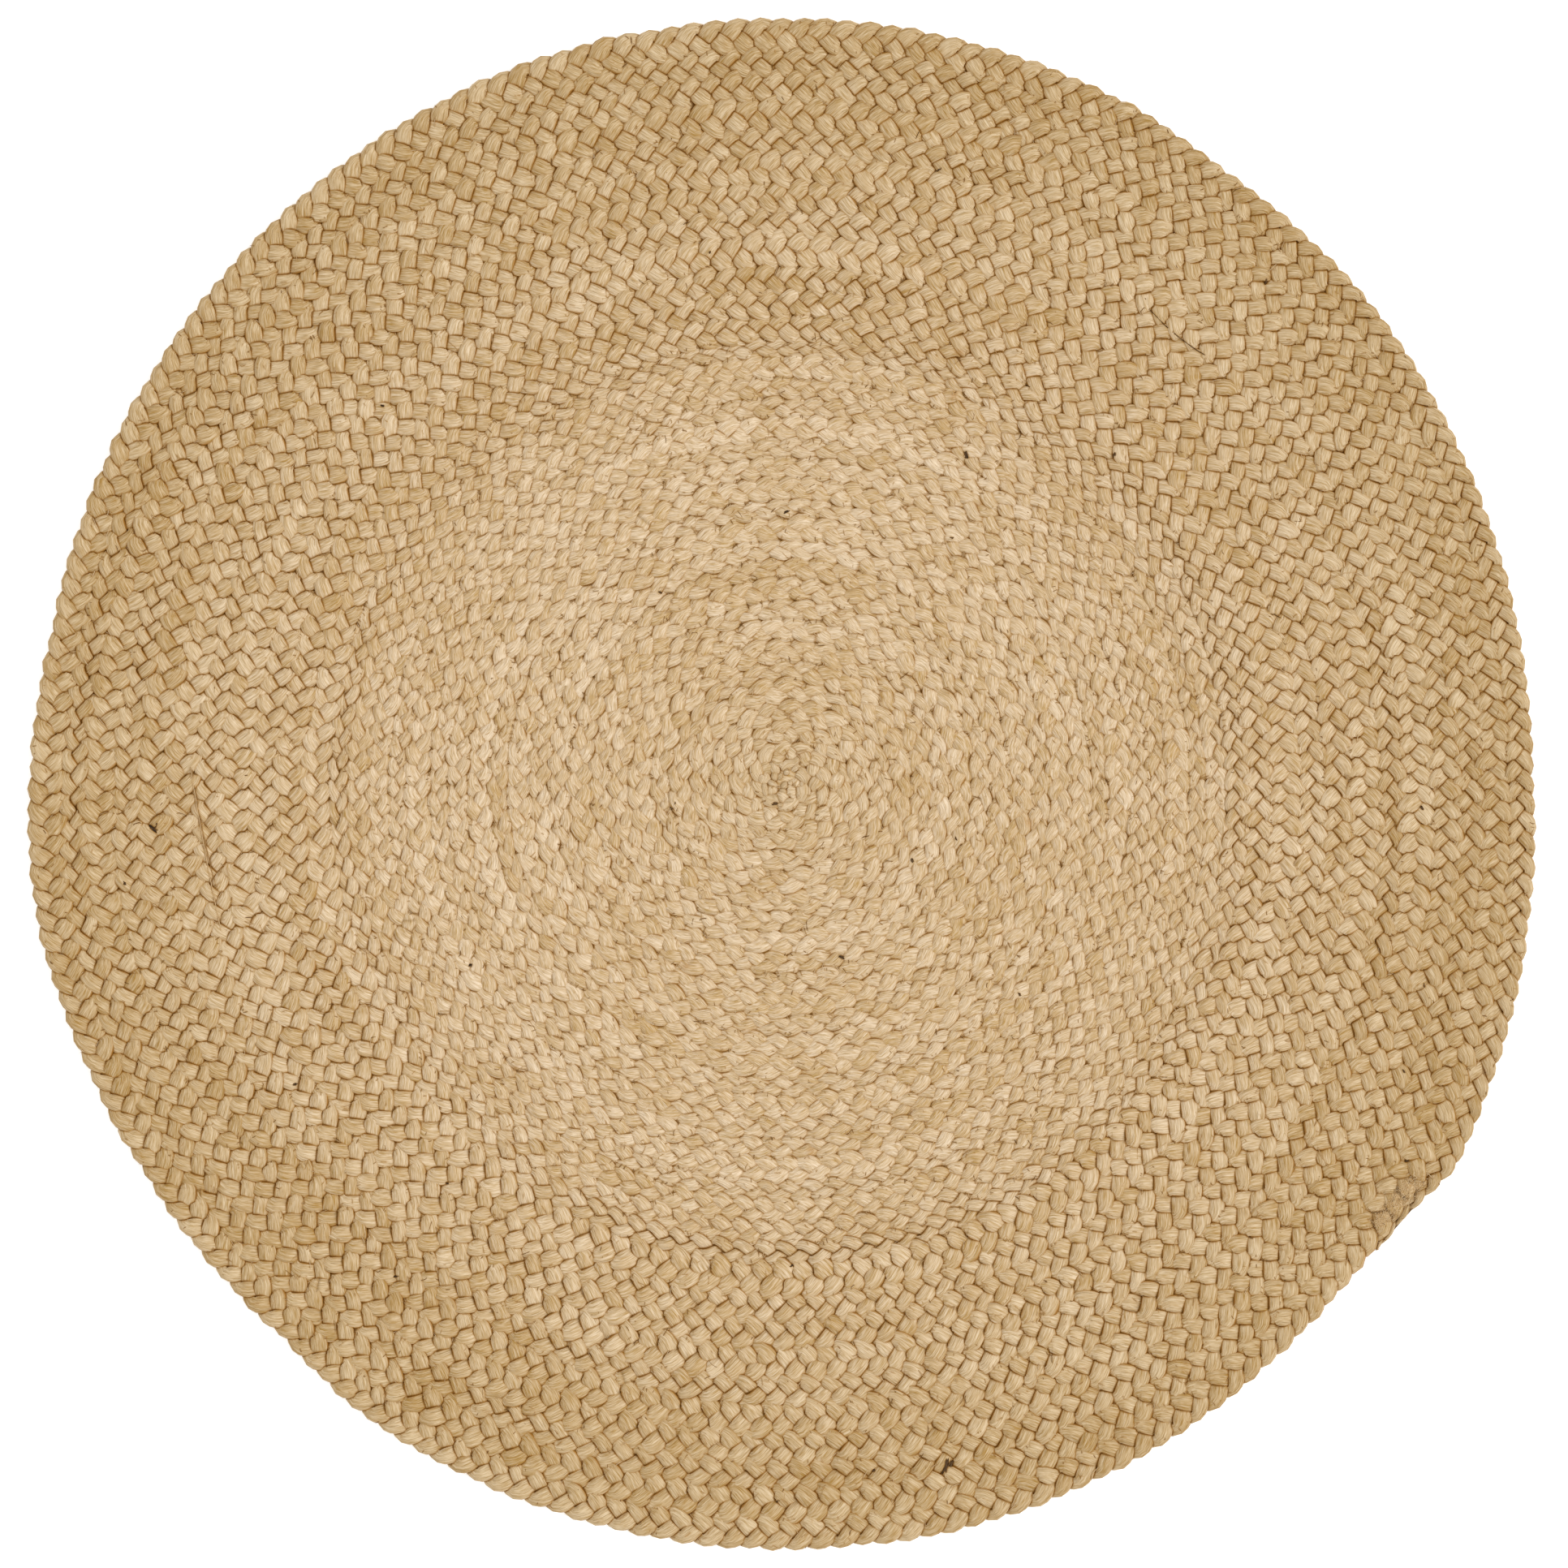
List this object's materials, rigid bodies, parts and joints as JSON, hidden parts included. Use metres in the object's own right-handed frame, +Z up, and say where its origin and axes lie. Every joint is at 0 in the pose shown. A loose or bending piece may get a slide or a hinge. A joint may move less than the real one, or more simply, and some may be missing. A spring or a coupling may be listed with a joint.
{
  "type": "round braided jute rug",
  "caption": "Round flat rug made of one three-strand jute braid, coiled in a spiral and sewn turn to turn.",
  "frame": {"origin": "middle of the bounding box at the underside, which rests on the floor", "axes": "+Z up from the floor; +X towards the picture's right, where the braid's tail ends a little below; +Y towards the picture's top"},
  "size_m": [1.1898, 1.2088, 0.0095],
  "materials": {
    "jute_braid": "natural undyed jute fibre, satin along the strands"
  },
  "bodies": {
    "root": {"braided_coil": "jute_braid"}
  },
  "joints": []
}
